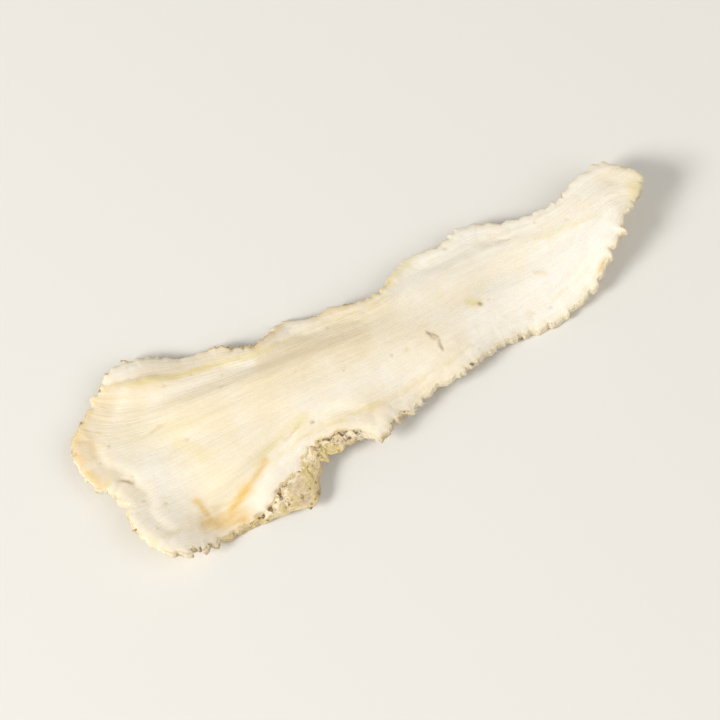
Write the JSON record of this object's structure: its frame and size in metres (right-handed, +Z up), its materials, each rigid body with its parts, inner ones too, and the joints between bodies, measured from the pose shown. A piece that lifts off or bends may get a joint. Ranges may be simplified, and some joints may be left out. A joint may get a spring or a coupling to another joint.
{
  "type": "dried angelica root slice",
  "caption": "Thin lengthwise slice of dried angelica root, cream flesh warped and ridged, with a jagged rim and a strip of tan bark.",
  "frame": {"origin": "under the middle of the slice's bounding box, on the surface that it lies on", "axes": "+X along the slice from its broad end to its narrow tip, +Y across it to the thin upper edge, +Z up from the surface"},
  "size_m": [0.0732, 0.0262, 0.0056],
  "materials": {
    "dried_flesh": "matte dry cream root flesh, with tan bark left along its rim"
  },
  "bodies": {
    "root": {"root_slice": "dried_flesh"}
  },
  "joints": []
}
